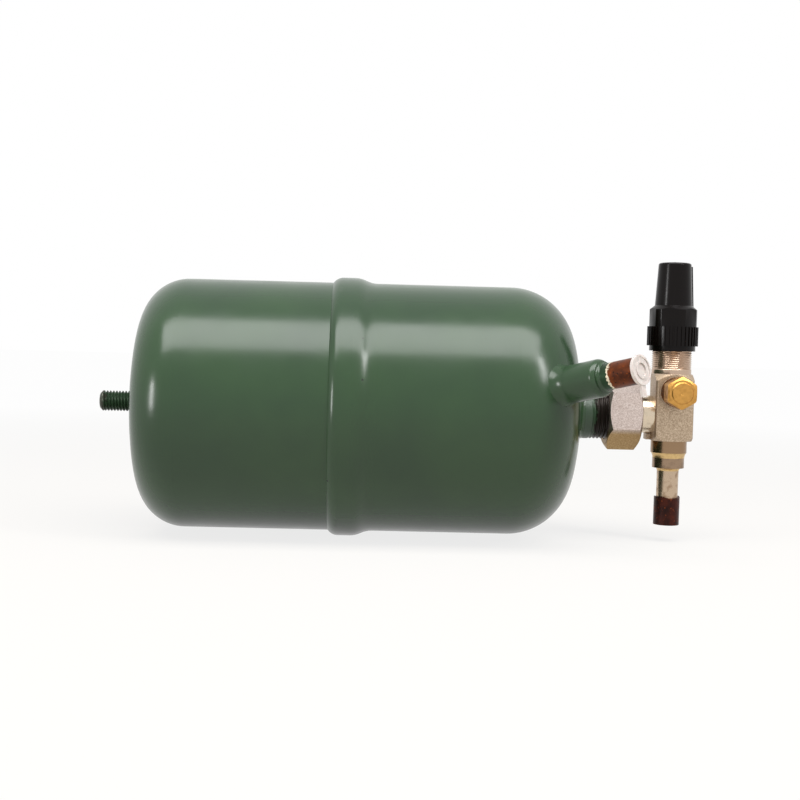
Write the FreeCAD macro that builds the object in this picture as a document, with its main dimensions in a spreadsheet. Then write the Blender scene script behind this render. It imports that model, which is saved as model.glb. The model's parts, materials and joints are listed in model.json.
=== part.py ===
import FreeCAD, Part
import Sketcher
import math
import os
from types import SimpleNamespace
from FreeCAD import Placement, Rotation, Vector

# A small liquid receiver for a refrigeration circuit, lying on its side.
# The tank's axis is X. The mounting stud is at the low end and the union service valve at the high end.
# The valve's spindle stands along +Z, and the gauge port and the inlet look towards -Y.
# The origin is where the stud's axis meets the crown that the stud is welded to.

# Driving sizes in millimetres and degrees: alias, value, what it is
SIZES = [
    ("shell_radius", 60.5, "outside radius of the two drawn shells"),
    ("shell_wall", 2.5, "sheet thickness of the shells"),
    ("tank_length", 217, "from crown to crown"),
    ("stud_crown", 200, "crown radius of the head that carries the stud"),
    ("stud_knuckle", 22, "knuckle radius of that head"),
    ("valve_crown", 150, "crown radius of the head that carries the valve"),
    ("valve_knuckle", 31, "knuckle radius of that head"),
    ("lip_place", 100.5, "from the stud's crown to the lip of the swaged socket"),
    ("lap_depth", 5, "how far the plain shell goes in under the lip"),
    ("socket_run", 5.6, "straight part of the swaged socket"),
    ("joggle_run", 11, "length of the slope from the socket to the shell"),
    ("seam_run", 5, "length of the seam weld along the shell"),
    ("seam_crown", 6, "radius of the seam weld's rounded face"),
    ("seat_gap", 0.04, "gap of a joint that is fixed for good"),
    ("running_gap", 0.06, "radial gap between pieces that turn or slide on each other"),
    ("free_gap", 0.4, "gap round a piece that passes without touching"),
    ("stud_radius", 5, "outside radius of the M10 stud"),
    ("stud_length", 17, "from the crown to the stud's tip"),
    ("stud_chamfer", 1.2, "chamfer at the stud's tip"),
    ("spud_radius", 12.7, "outside radius of the one inch spud"),
    ("spud_inside", 5, "how far the spud reaches in past the head's wall"),
    ("spud_reach", 21.2, "from the crown to the spud's sealing face"),
    ("spud_chamfer", 0.8, "chamfer at the spud's sealing face"),
    ("spud_fillet", 2.8, "leg of the weld between spud and crown"),
    ("passage_radius", 4.2, "bore through spud and tailpiece"),
    ("dip_radius", 5, "outside radius of the dip tube"),
    ("dip_wall", 1, "wall of the dip tube"),
    ("dip_seat", 12, "depth of the dip tube's socket in the spud"),
    ("dip_clearance", 7, "from the stud's crown, inside, to the dip tube's mouth"),
    ("boss_angle", 47, "between the tank's axis and the inlet boss, square to the knuckle"),
    ("boss_azimuth", 16.4, "of the inlet boss above the horizontal"),
    ("boss_radius", 8.65, "outside radius of the inlet boss"),
    ("boss_inside", 2, "how far the boss reaches in past the wall"),
    ("boss_length", 21.7, "from the dome to the boss's end"),
    ("boss_round", 3, "rounding of the boss's shoulder"),
    ("boss_step", 2.4, "how far that rounding reaches in over the boss's end"),
    ("boss_bore", 4.6, "radius of the bore below the stub"),
    ("boss_socket", 14.7, "depth of the stub's socket in the boss"),
    ("boss_weld_radius", 13.4, "outside radius of the weld round the boss"),
    ("boss_weld_height", 5, "height of that weld up the boss"),
    ("stub_radius", 6, "outside radius of the copper inlet stub"),
    ("stub_wall", 1, "wall of the copper inlet stub"),
    ("stub_reach", 18, "from the boss's end to the stub's end"),
    ("stub_braze", 1.3, "leg of the braze between boss and stub"),
    ("plug_depth", 6.5, "how far the plug's spigot goes into the stub"),
    ("plug_wall", 1, "wall of the plug's spigot"),
    ("plug_disc", 6.75, "radius of the plug's disc"),
    ("plug_thick", 1.2, "thickness of the plug's disc"),
    ("plug_rim", 0.9, "width of the raised rim on the plug's disc"),
    ("plug_relief", 0.35, "height of the plug's rings"),
    ("plug_tab", 3.2, "width of the plug's pull tab"),
    ("plug_tab_length", 5.2, "length of the pull tab past the disc"),
    ("gasket_thick", 1.5, "thickness of the union's gasket"),
    ("collar_radius", 11.6, "radius of the tailpiece's collar"),
    ("collar_thick", 2.4, "thickness of the tailpiece's collar"),
    ("slip_thick", 0.8, "thickness of the slip ring behind the collar"),
    ("spigot_radius", 9.3, "radius of the tailpiece's spigot"),
    ("spigot_length", 10.8, "from the slip ring to the valve's side face"),
    ("pilot_radius", 7, "radius of the tailpiece's pilot in the valve"),
    ("pilot_depth", 2.6, "depth of that pilot"),
    ("nut_flats", 31, "width across the flats of the union nut"),
    ("nut_lip", 3.9, "thickness of the nut's inner lip"),
    ("nut_reach", 7.6, "length of thread held by the nut"),
    ("nut_round", 15.1, "radius of the nut's end faces inside the chamfer"),
    ("nut_bevel", 30, "angle of the chamfer on the nut's ends"),
    ("nut_roll", 6.5, "turn of the nut's front flat above the horizontal"),
    ("body_width", 18.8, "width of the valve's forging along the tank's axis"),
    ("body_front", 10.7, "from the spindle to the forging's front face"),
    ("body_back", 9.7, "from the spindle to the forging's back"),
    ("body_foot", 12.6, "from the tank's axis down to the forging's foot"),
    ("body_head", 20.2, "from the tank's axis up to the forging's head"),
    ("body_corner", 1.2, "corner radius of the forging's front"),
    ("body_back_corner", 7, "corner radius of the forging's back"),
    ("shoulder_radius", 10.5, "radius where the turned shoulder starts"),
    ("shoulder_drop", 4.5, "height of the turned shoulder at the corners"),
    ("foot_bevel", 2.2, "height of the bevel under the forging's corners"),
    ("lug_thick", 2, "thickness of the lug behind the spigot"),
    ("lug_height", 5.1, "height of that lug"),
    ("neck_radius", 9.7, "outside radius of the threaded neck"),
    ("neck_top", 42.6, "from the tank's axis up to the neck's end"),
    ("neck_chamfer", 1, "chamfer at the neck's end"),
    ("gland_bore", 6.2, "radius of the gland's bore in the neck"),
    ("gland_floor", 30, "height of the gland bore's floor"),
    ("guide_floor", 18, "height where the spindle's thread ends"),
    ("guide_radius", 4.6, "outside radius of the spindle's thread"),
    ("chamber_radius", 6, "radius of the chamber round the seat"),
    ("seat_height", 6, "from the tank's axis down to the seat"),
    ("port_radius", 3.6, "radius of the port under the seat"),
    ("tail_radius", 8.8, "radius of the turned tail under the forging"),
    ("tail_length", 6.1, "length of that tail"),
    ("tail_socket", 4, "depth of the adaptor's socket in the tail"),
    ("adaptor_neck", 5.6, "radius of the adaptor's neck"),
    ("adaptor_radius", 7.8, "radius of the adaptor's collar"),
    ("adaptor_length", 4.9, "length of the adaptor's collar"),
    ("braze_height", 2.6, "height of the braze ring between tail and adaptor"),
    ("outlet_radius", 5.3, "outside radius of the outlet tube"),
    ("outlet_wall", 1, "wall of the outlet tube"),
    ("outlet_length", 14.4, "visible length of the outlet tube"),
    ("outlet_braze", 1.5, "leg of the braze under the adaptor"),
    ("cup_radius", 6.3, "outside radius of the copper cup"),
    ("cup_length", 13.9, "length of the copper cup"),
    ("cup_lap", 5.4, "how far the tube goes into the cup"),
    ("cup_bore", 5.05, "radius of the cup's bore, for a 10 mm tube"),
    ("stem_radius", 3.6, "radius of the spindle's stem"),
    ("stem_thread", 6, "length of the spindle's thread"),
    ("stem_lower", 3, "radius of the spindle below the thread"),
    ("stem_square", 4.4, "width across the spindle's square"),
    ("stem_shoulder", 37.6, "height where the square starts"),
    ("stem_top", 43.2, "height of the spindle's end"),
    ("disc_radius", 5.3, "radius of the valve disc"),
    ("disc_thick", 2.4, "thickness of the valve disc"),
    ("disc_pin", 1.8, "radius of the pin that carries the disc"),
    ("disc_pin_length", 1.3, "length of that pin"),
    ("washer_thick", 1, "thickness of the packing washer"),
    ("packing_thick", 3, "thickness of the packing"),
    ("gland_length", 4, "length of the gland nut"),
    ("gland_slot", 1.6, "width of the gland nut's spanner slot"),
    ("gland_slot_depth", 1.8, "depth of that slot"),
    ("seal_thick", 1.2, "thickness of the cap's seal"),
    ("seal_width", 2.9, "width of the cap's seal"),
    ("cap_foot", 31.5, "height of the cap's lower edge"),
    ("cap_foot_radius", 11.2, "radius of the cap's lower ring"),
    ("cap_foot_length", 2.5, "height of that ring"),
    ("cap_skirt_radius", 11.9, "radius of the skirt between its ribs"),
    ("cap_skirt_length", 9.4, "height of the ribbed skirt"),
    ("cap_rib_height", 0.5, "how far a rib stands out"),
    ("cap_rib_width", 1, "width of a rib"),
    ("cap_ribs", 36, "number of ribs"),
    ("cap_flats", 21.5, "width across the cap's flats"),
    ("cap_hex_length", 10.4, "height of the cap's hexagon"),
    ("cap_hex_round", 11.5, "radius that the cap's corners are turned to"),
    ("cap_hex_bevel", 2, "height of the bevel on top of the hexagon"),
    ("cap_tower_base", 9.1, "radius of the cap's tower at its foot"),
    ("cap_tower_tip", 7.95, "radius of the cap's tower at its top"),
    ("cap_top", 75.2, "height of the cap's top"),
    ("cap_round", 1.5, "rounding of the cap's top edge"),
    ("cap_roof", 2.6, "thickness of the cap's roof"),
    ("cap_hollow", 6.2, "radius of the hollow round the spindle"),
    ("cap_ridge_height", 1.1, "how far the ridge stands out from the cap's tower"),
    ("cap_ridge_width", 1.2, "width of that ridge"),
    ("cap_ridge_drop", 2, "from the cap's top down to the ridge"),
    ("cap_roll", 8.4, "turn of a corner of the cap's hexagon from the front"),
    ("gauge_height", 11.5, "height of the gauge port"),
    ("gauge_pad", 7.3, "radius of the machined pad round the gauge port"),
    ("gauge_pad_thick", 0.5, "thickness of that pad"),
    ("gauge_pilot", 4, "radius of the nipple's pilot"),
    ("gauge_pilot_depth", 3.2, "depth of that pilot"),
    ("gauge_nose", 5.5, "radius of the nipple's nose"),
    ("gauge_nose_length", 4, "length of the nose"),
    ("gauge_thread", 5, "outside radius of the nipple's thread"),
    ("gauge_thread_length", 8, "length of the nipple's thread"),
    ("gauge_hole", 1.3, "radius of the gauge port's drilling"),
    ("gauge_cap_flats", 14, "width across the gauge cap's flats"),
    ("gauge_cap_length", 8.6, "length of the gauge cap's hexagon"),
    ("gauge_cap_gap", 1, "from the nose to the gauge cap"),
    ("gauge_cap_round", 7.8, "radius that the gauge cap's corners are turned to"),
    ("gauge_cap_face", 5.3, "radius of the gauge cap's round face"),
    ("gauge_cap_relief", 0.5, "height of that face"),
    ("gauge_seal_thick", 1, "thickness of the gauge cap's seal"),
    ("gauge_seal_radius", 4.6, "radius of the gauge cap's seal"),
]


class Size:
    """A length with its value and the expression that gives it, so that a drawing stays tied to the sheet."""

    def __init__(self, value, text):
        self.value = value
        self.text = text

    def joined(self, sign, other, flip=False):
        first, second = (Size.of(other), self) if flip else (self, Size.of(other))
        sums = {
            "+": first.value + second.value,
            "-": first.value - second.value,
            "*": first.value * second.value,
            "/": first.value / second.value if second.value else 0.0,
        }
        return Size(sums[sign], f"({first.text} {sign} {second.text})")

    @staticmethod
    def of(number):
        return number if isinstance(number, Size) else Size(number, f"{number:.9g}")

    def __add__(self, other):
        return self.joined("+", other)

    def __radd__(self, other):
        return self.joined("+", other, True)

    def __sub__(self, other):
        return self.joined("-", other)

    def __rsub__(self, other):
        return self.joined("-", other, True)

    def __mul__(self, other):
        return self.joined("*", other)

    def __rmul__(self, other):
        return self.joined("*", other, True)

    def __truediv__(self, other):
        return self.joined("/", other)

    def __neg__(self):
        return Size(-self.value, f"(-1 * {self.text})")

    def root(self):
        return Size(math.sqrt(self.value), f"sqrt({self.text})")

    def turn(self, name):
        """Sine, cosine or tangent of an angle in degrees."""
        value = getattr(math, name)(math.radians(self.value))
        return Size(value, f"{name}({self.text} * 1 deg)")


doc = FreeCAD.newDocument("liquid_receiver")
sheet = doc.addObject("Spreadsheet::Sheet", "Sizes")
for row, (alias, value, meaning) in enumerate(SIZES, start=1):
    sheet.set(f"A{row}", meaning)
    sheet.set(f"B{row}", str(value))
    sheet.setAlias(f"B{row}", alias)
doc.recompute()
s = SimpleNamespace(**{alias: Size(float(value), f"Sizes.{alias}") for alias, value, _ in SIZES})
ZERO = Size(0.0, "0")
pieces = []


def new_body(label, keep=True):
    """An empty body; a kept one is a piece of the object."""
    body = doc.addObject("PartDesign::Body", label)
    body.Label = label
    if keep:
        pieces.append(body)
    return body


def drawing(body, name, role, corners, lift=ZERO):
    """A closed sketch: each corner is (x, y), or (x, y, radius) where an arc of that radius leads to it.

    The arc's centre lies to the left of the way for a positive radius, and to the right for a negative one.
    """
    sketch = body.newObject("Sketcher::SketchObject", name)
    plane = next(f for f in body.Origin.OriginFeatures if f.Role == role)
    sketch.AttachmentSupport = (plane, [""])
    sketch.MapMode = "FlatFace"
    sketch.setExpression("AttachmentOffset.Base.z", lift.text)
    count = len(corners)
    spots = [Vector(Size.of(c[0]).value, Size.of(c[1]).value, 0) for c in corners]
    ends = []
    for i in range(count):
        start, goal = spots[i], spots[(i + 1) % count]
        leading = corners[(i + 1) % count]
        if len(leading) == 2:
            sketch.addGeometry(Part.LineSegment(start, goal), False)
            ends.append((1, 2))
            continue
        radius = Size.of(leading[2])
        side = math.copysign(1.0, radius.value)
        chord = goal - start
        left = Vector(-chord.y, chord.x, 0).normalize() * side
        half = chord.Length / 2
        rise = abs(radius.value) - math.sqrt(max(radius.value**2 - half**2, 0.0))
        middle = (start + goal) / 2 - left * rise
        if side > 0:
            sketch.addGeometry(Part.Arc(start, middle, goal), False)
            ends.append((1, 2))
        else:
            sketch.addGeometry(Part.Arc(goal, middle, start), False)
            ends.append((2, 1))
    for i in range(count):
        following = (i + 1) % count
        sketch.addConstraint(Sketcher.Constraint("Coincident", i, ends[i][1], following, ends[following][0]))
    for i in range(count):
        for kind, number in (("DistanceX", corners[i][0]), ("DistanceY", corners[i][1])):
            number = Size.of(number)
            place = Sketcher.Constraint(kind, -1, 1, i, ends[i][0], number.value)
            sketch.setExpression(f"Constraints[{sketch.addConstraint(place)}]", number.text)
        leading = corners[(i + 1) % count]
        if len(leading) == 3:
            radius = Size.of(leading[2])
            bend = sketch.addConstraint(Sketcher.Constraint("Radius", i, abs(radius.value)))
            sketch.setExpression(f"Constraints[{bend}]", f"abs({radius.text})")
    return sketch


def spun(body, name, corners, axis, cut=False):
    """A full turn of a profile drawn in the XZ plane, added to the body or cut from it."""
    profile = drawing(body, f"{name}_profile", "XZ_Plane", corners)
    kind = "PartDesign::Groove" if cut else "PartDesign::Revolution"
    turn = body.newObject(kind, name)
    turn.Profile = profile
    turn.ReferenceAxis = (profile, ["H_Axis" if axis == "X" else "V_Axis"])
    turn.Angle = 360
    body.Tip = turn
    doc.recompute()
    return turn


def turned(label, corners, axis, keep=True):
    """A piece made on a lathe."""
    body = new_body(label, keep)
    spun(body, f"{label}_turning", corners, axis)
    return body


def padded(body, name, role, corners, length, lift=ZERO):
    """A pad of a closed drawing along the plane's normal."""
    pad = body.newObject("PartDesign::Pad", name)
    pad.Profile = drawing(body, f"{name}_outline", role, corners, lift)
    pad.setExpression("Length", length.text)
    body.Tip = pad
    doc.recompute()
    return pad


def drilled(body, name, role, centre, radius, depth, lift=ZERO, reverse=False):
    """A round blind hole, cut from a plane of the body's own origin that is moved by lift."""
    before = body.Tip.Shape.Volume
    sketch = body.newObject("Sketcher::SketchObject", f"{name}_circle")
    plane = next(f for f in body.Origin.OriginFeatures if f.Role == role)
    sketch.AttachmentSupport = (plane, [""])
    sketch.MapMode = "FlatFace"
    sketch.setExpression("AttachmentOffset.Base.z", lift.text)
    middle = Vector(Size.of(centre[0]).value, Size.of(centre[1]).value, 0)
    sketch.addGeometry(Part.Circle(middle, Vector(0, 0, 1), radius.value), False)
    for kind, number in (("DistanceX", centre[0]), ("DistanceY", centre[1])):
        number = Size.of(number)
        place = sketch.addConstraint(Sketcher.Constraint(kind, -1, 1, 0, 3, number.value))
        sketch.setExpression(f"Constraints[{place}]", number.text)
    bend = sketch.addConstraint(Sketcher.Constraint("Radius", 0, radius.value))
    sketch.setExpression(f"Constraints[{bend}]", radius.text)
    pocket = body.newObject("PartDesign::Pocket", name)
    pocket.Profile = sketch
    pocket.setExpression("Length", depth.text)
    pocket.Reversed = reverse
    body.Tip = pocket
    doc.recompute()
    if pocket.Shape.Volume >= before:
        raise ValueError(f"{name} cuts nothing")
    return pocket


def hexagon(flats, turn=0):
    """Corners of a hexagon, the first of them turned from the first axis."""
    reach = flats / math.sqrt(3)
    steps = [math.radians(60 * k + turn) for k in range(6)]
    return [(reach * round(math.cos(a), 12), reach * round(math.sin(a), 12)) for a in steps]


def box_corners(low_x, low_y, high_x, high_y):
    """Corners of a rectangle."""
    return [(low_x, low_y), (high_x, low_y), (high_x, high_y), (low_x, high_y)]


def at_valve(body):
    """Puts a body that is drawn about its own Z axis on the valve's spindle."""
    body.setExpression(".Placement.Base.x", valve_place.text)


# Places along the tank's axis that follow from the driving sizes
spud_face = s.tank_length + s.spud_reach
gasket_end = spud_face + s.gasket_thick
collar_end = gasket_end + s.collar_thick
slip_end = collar_end + s.slip_thick
valve_side = slip_end + s.spigot_length
valve_place = valve_side + s.body_width / 2
nut_start = spud_face - s.nut_reach
nut_end = slip_end + s.nut_lip


def head(crown, knuckle, wall, outside=s.shell_radius):
    """Places on a domed head, as depth from the crown and radius: where crown meets knuckle, and its depth."""
    reach = outside - knuckle
    lean = reach / (crown - knuckle)
    flat = (1 - lean * lean).root()
    meeting = (crown - (crown - wall) * flat, (crown - wall) * lean)
    depth = crown - ((crown - knuckle) * (crown - knuckle) - reach * reach).root()
    return SimpleNamespace(meeting=meeting, depth=depth, reach=reach)


def crown_depth(crown, radius):
    """How far a crown has fallen back at a radius from its axis."""
    return crown - (crown * crown - radius * radius).root()


# The shell with the stud: a deep-drawn cup, plain at its open end
def stud_end_shell():
    outer = head(s.stud_crown, s.stud_knuckle, ZERO)
    inner = head(s.stud_crown, s.stud_knuckle, s.shell_wall)
    mouth = s.lip_place + s.lap_depth
    bore = s.shell_radius - s.shell_wall
    turned("stud_end_shell", [
        (ZERO, ZERO),
        (*outer.meeting, -s.stud_crown),
        (outer.depth, s.shell_radius, -s.stud_knuckle),
        (mouth, s.shell_radius),
        (mouth, bore),
        (outer.depth, bore),
        (*inner.meeting, s.stud_knuckle - s.shell_wall),
        (s.shell_wall, ZERO, s.stud_crown - s.shell_wall),
    ], "X")


socket_radius = s.shell_radius + s.seat_gap
lip_radius = socket_radius + s.shell_wall
joggle_start = s.lip_place + s.socket_run
joggle_end = joggle_start + s.joggle_run
valve_head = head(s.valve_crown, s.valve_knuckle, ZERO)
knuckle_place = s.tank_length - valve_head.depth


def joggle(start_radius, end_radius, forwards=True):
    """The two arcs of the slope between the swaged socket and the shell."""
    drop = start_radius - end_radius
    bend = (s.joggle_run * s.joggle_run + drop * drop) / (4 * drop)
    middle = (joggle_start + s.joggle_run / 2, (start_radius + end_radius) / 2)
    if forwards:
        return [(*middle, -bend), (joggle_end, end_radius, bend)]
    return [(*middle, -bend), (joggle_start, start_radius, bend)]


# The shell with the valve: its open end is swaged out to a socket, and its head is pierced for spud and boss
def valve_end_shell():
    inner = head(s.valve_crown, s.valve_knuckle, s.shell_wall)
    bore = s.shell_radius - s.shell_wall
    hole = s.spud_radius + s.seat_gap
    inner_crown = s.valve_crown - s.shell_wall
    blank = turned("valve_end_blank", [
        (s.lip_place, lip_radius),
        (joggle_start, lip_radius),
        *joggle(lip_radius, s.shell_radius),
        (knuckle_place, s.shell_radius),
        (s.tank_length - valve_head.meeting[0], valve_head.meeting[1], -s.valve_knuckle),
        (s.tank_length - crown_depth(s.valve_crown, hole), hole, -s.valve_crown),
        (s.tank_length - s.shell_wall - crown_depth(inner_crown, hole), hole),
        (s.tank_length - inner.meeting[0], inner.meeting[1], inner_crown),
        (knuckle_place, bore, s.valve_knuckle - s.shell_wall),
        (joggle_end, bore),
        *joggle(socket_radius, bore, False),
        (s.lip_place, socket_radius),
    ], "X", keep=False)
    drill = doc.addObject("Part::Cylinder", "boss_hole")
    drill.setExpression("Radius", (s.boss_radius + s.seat_gap).text)
    drill.setExpression("Height", (s.valve_knuckle * 2).text)
    drill.Placement = boss_frame()
    cut_piece("valve_end_shell", blank, drill)


def cut_piece(label, base, tool):
    """A piece left when one solid is cut by another."""
    piece = doc.addObject("Part::Cut", label)
    piece.Label = label
    piece.Base = base
    piece.Tool = tool
    doc.recompute()
    pieces.append(piece)
    return piece


def seam_weld():
    turned("seam_weld", [
        (s.lip_place - s.seam_run, s.shell_radius, s.seam_crown),
        (s.lip_place, s.shell_radius),
        (s.lip_place, lip_radius),
    ], "X")


# The M10 stud, welded to the crown; its thread is shown as its outside
def mounting_stud():
    root = crown_depth(s.stud_crown, s.stud_radius)
    turned("mounting_stud", [
        (-s.stud_length, ZERO),
        (ZERO, ZERO),
        (root, s.stud_radius, -s.stud_crown),
        (s.stud_chamfer - s.stud_length, s.stud_radius),
        (-s.stud_length, s.stud_radius - s.stud_chamfer),
    ], "X")


# The spud that the union screws on, with the dip tube's socket at its inner end
def outlet_spud():
    start = s.tank_length - s.shell_wall - s.spud_inside
    socket = s.dip_radius + s.seat_gap
    turned("outlet_spud", [
        (start, socket),
        (start + s.dip_seat, socket),
        (start + s.dip_seat, s.passage_radius),
        (spud_face, s.passage_radius),
        (spud_face, s.spud_radius - s.spud_chamfer),
        (spud_face - s.spud_chamfer, s.spud_radius),
        (start, s.spud_radius),
    ], "X")
    tube_end = start + s.dip_seat - s.seat_gap
    mouth = s.shell_wall + s.dip_clearance
    turned("dip_tube", [
        (mouth, s.dip_radius - s.dip_wall),
        (tube_end, s.dip_radius - s.dip_wall),
        (tube_end, s.dip_radius),
        (mouth, s.dip_radius),
    ], "X")


def spud_weld():
    inner = s.spud_radius + s.seat_gap
    outer = inner + s.spud_fillet
    turned("spud_weld", [
        (s.tank_length - crown_depth(s.valve_crown, inner), inner, -s.valve_crown),
        (s.tank_length + s.spud_fillet - crown_depth(s.valve_crown, inner), inner),
        (s.tank_length - crown_depth(s.valve_crown, outer), outer, -s.spud_fillet * 1.3),
    ], "X")


def boss_frame():
    """The inlet's own frame: its Z leaves the knuckle's centre square to the dome, its X points down."""
    angle = math.radians(s.boss_angle.value)
    azimuth = math.radians(s.boss_azimuth.value)
    sideways = Vector(0, -math.cos(azimuth), math.sin(azimuth))
    way = Vector(math.cos(angle), 0, 0) + sideways * math.sin(angle)
    down = Vector(0, 0, -1) + way * way.z
    base = Vector(knuckle_place.value, 0, 0) + sideways * valve_head.reach.value
    return Placement(base, Rotation(down.normalize(), Vector(), way, "ZXY"))


dome = s.valve_knuckle
boss_end = dome + s.boss_length
stub_end = boss_end + s.stub_reach


# The inlet: a steel boss through the dome, a copper stub brazed into it
def inlet():
    start = dome - s.shell_wall - s.boss_inside
    socket = s.stub_radius + s.seat_gap
    floor = boss_end - s.boss_socket
    shoulder = s.boss_radius - s.boss_step
    boss = turned("inlet_boss", [
        (s.boss_bore, start),
        (s.boss_radius, start),
        (s.boss_radius, boss_end - s.boss_round),
        (shoulder, boss_end, s.boss_round),
        (socket, boss_end),
        (socket, floor),
        (s.boss_bore, floor),
    ], "Z")
    stub = turned("inlet_stub", [
        (s.stub_radius - s.stub_wall, floor + s.seat_gap),
        (s.stub_radius, floor + s.seat_gap),
        (s.stub_radius, stub_end),
        (s.stub_radius - s.stub_wall, stub_end),
    ], "Z")
    braze = turned("inlet_braze", [
        (socket, boss_end),
        (socket + s.stub_braze, boss_end),
        (socket, boss_end + s.stub_braze, -s.stub_braze * 1.2),
    ], "Z")
    ring = turned("boss_weld_ring", [
        (s.boss_radius + s.seat_gap, dome - s.boss_weld_height),
        (s.boss_weld_radius, dome - s.boss_weld_height),
        (s.boss_radius + s.seat_gap, dome + s.boss_weld_height, -s.boss_weld_height * 2.4),
    ], "Z", keep=False)
    for body in (boss, stub, braze, ring):
        body.Placement = boss_frame()
    doc.recompute()
    form = turned("valve_end_form", [
        (joggle_end, ZERO),
        (s.tank_length, ZERO),
        (s.tank_length - valve_head.meeting[0], valve_head.meeting[1], s.valve_crown),
        (knuckle_place, s.shell_radius, s.valve_knuckle),
        (joggle_end, s.shell_radius),
    ], "X", keep=False)
    cut_piece("boss_weld", ring, form)


# The plastic plug that keeps dirt out of the stub, with rings on its disc and a tab to pull it by
def inlet_plug():
    spigot = s.stub_radius - s.stub_wall - s.running_gap
    bore = spigot - s.plug_wall
    face = stub_end + s.plug_thick
    top = face + s.plug_relief
    rim = s.plug_disc - s.plug_rim
    plug = turned("inlet_plug", [
        (bore, stub_end - s.plug_depth),
        (spigot, stub_end - s.plug_depth),
        (spigot, stub_end),
        (s.plug_disc, stub_end),
        (s.plug_disc, top),
        (rim, top),
        (rim, face),
        (bore, face),
        (bore, top),
        (bore - s.plug_rim, top),
        (bore - s.plug_rim, face - s.plug_relief),
        (ZERO, face - s.plug_relief),
        (ZERO, stub_end),
        (bore, stub_end),
    ], "Z")
    half = s.plug_tab / 2
    tab = box_corners(s.plug_disc - s.plug_rim, -half, s.plug_disc + s.plug_tab_length, half)
    padded(plug, "pull_tab", "XY_Plane", tab, s.plug_thick, stub_end)
    plug.Placement = boss_frame()


# The union: gasket, tailpiece with its collar, slip ring and hexagon nut
def union():
    turned("union_gasket", [
        (spud_face, s.passage_radius),
        (gasket_end, s.passage_radius),
        (gasket_end, s.collar_radius),
        (spud_face, s.collar_radius),
    ], "X")
    turned("union_tailpiece", [
        (gasket_end, s.passage_radius),
        (valve_side + s.pilot_depth, s.passage_radius),
        (valve_side + s.pilot_depth, s.pilot_radius),
        (valve_side, s.pilot_radius),
        (valve_side, s.spigot_radius),
        (collar_end, s.spigot_radius),
        (collar_end, s.collar_radius),
        (gasket_end, s.collar_radius),
    ], "X")
    slip_bore = s.spigot_radius + s.running_gap
    turned("slip_ring", [
        (collar_end, slip_bore),
        (slip_end, slip_bore),
        (slip_end, s.collar_radius),
        (collar_end, s.collar_radius),
    ], "X")
    nut = new_body("union_nut")
    padded(nut, "nut_hexagon", "YZ_Plane", hexagon(s.nut_flats), nut_end - nut_start, nut_start)
    thread = s.spud_radius + s.running_gap
    spun(nut, "nut_bore", [
        (nut_start, ZERO),
        (nut_end, ZERO),
        (nut_end, s.spigot_radius + s.free_gap),
        (slip_end, s.spigot_radius + s.free_gap),
        (slip_end, thread),
        (nut_start, thread),
    ], "X", cut=True)
    corner = s.nut_flats / math.sqrt(3) + 1
    fall = (corner - s.nut_round) * s.nut_bevel.turn("tan")
    for name, place, way in (("nut_front_bevel", nut_start, 1), ("nut_back_bevel", nut_end, -1)):
        spun(nut, name, [
            (place, s.nut_round),
            (place + fall * way, corner),
            (place - fall * way, corner),
            (place - fall * way, s.nut_round),
        ], "X", cut=True)
    nut.Placement = Placement(Vector(), Rotation(Vector(1, 0, 0), 30 - s.nut_roll.value))


def body_corners():
    """Outline of the forging: a flat front with small corners, a back rounded by large ones."""
    half = s.body_width / 2
    small, large = s.body_corner, s.body_back_corner
    front, back = -s.body_front, s.body_back
    return [
        (small - half, front, small),
        (half - small, front),
        (half, front + small, small),
        (half, back - large),
        (half - large, back, large),
        (large - half, back),
        (-half, back - large, large),
        (-half, front + small),
    ]


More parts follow.
